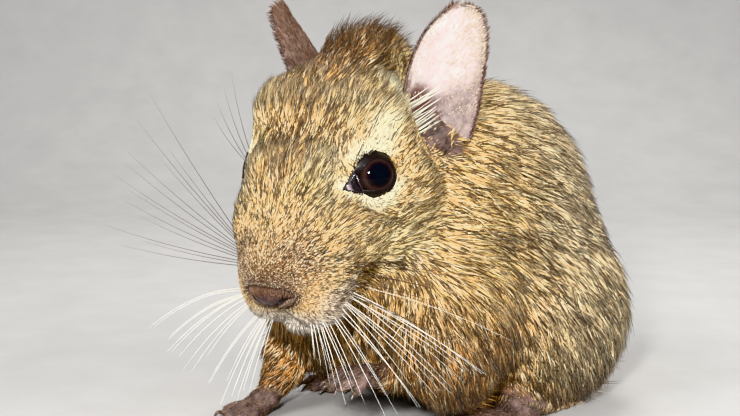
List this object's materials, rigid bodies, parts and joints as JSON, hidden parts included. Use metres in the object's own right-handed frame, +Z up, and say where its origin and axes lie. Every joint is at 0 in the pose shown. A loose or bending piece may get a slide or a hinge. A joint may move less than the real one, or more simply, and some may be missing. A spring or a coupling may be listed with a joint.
{
  "type": "degu",
  "caption": "Life-size still model of a degu sitting hunched, head low, one forepaw raised, with cupped ears and a tail ending in a dark brush, laid round its right side.",
  "frame": {"origin": "middle of the bounding box, on the floor that the animal sits on", "axes": "+Z up, the animal faces -Y, its left side is towards +X"},
  "size_m": [0.0762, 0.1136, 0.0807],
  "materials": {
    "coat": "agouti fur of golden hairs with black tips over a dark undercoat",
    "belly_coat": "rusty buff fur of the chest and belly",
    "tail_coat": "short close fur, dark above",
    "brush": "coarse black hairs",
    "ear_skin": "thin grey pink skin with a dark brown edge and fine hairs",
    "nose_leather": "bare damp skin, finely pebbled",
    "foot_skin": "grey skin with short pale hairs and pink pads",
    "claw": "dark horn",
    "eye": "wet and glossy, very dark brown"
  },
  "bodies": {
    "root": {"chest": "belly_coat", "claw_forepaw_left_1": "claw", "claw_forepaw_left_2": "claw", "claw_forepaw_left_3": "claw", "claw_forepaw_left_4": "claw", "claw_forepaw_right_1": "claw", "claw_forepaw_right_2": "claw", "claw_forepaw_right_3": "claw", "claw_forepaw_right_4": "claw", "claw_hindfoot_left_1": "claw", "claw_hindfoot_left_2": "claw", "claw_hindfoot_left_3": "claw", "claw_hindfoot_left_4": "claw", "claw_hindfoot_left_5": "claw", "claw_hindfoot_right_1": "claw", "claw_hindfoot_right_2": "claw", "claw_hindfoot_right_3": "claw", "claw_hindfoot_right_4": "claw", "claw_hindfoot_right_5": "claw", "ear_left": "ear_skin", "ear_right": "ear_skin", "eye_left": "eye", "eye_right": "eye", "foreleg_left": "coat", "foreleg_right": "coat", "forepaw_left": "foot_skin", "forepaw_right": "foot_skin", "head": "coat", "hindfoot_left": "foot_skin", "hindfoot_right": "foot_skin", "neck": "coat", "nose": "nose_leather", "rump": "coat", "shoulder_left": "coat", "shoulder_right": "coat", "tail_1": "tail_coat", "tail_2": "tail_coat", "tail_3": "tail_coat", "tail_brush": "brush", "thigh_left": "coat", "thigh_right": "coat"}
  },
  "joints": []
}
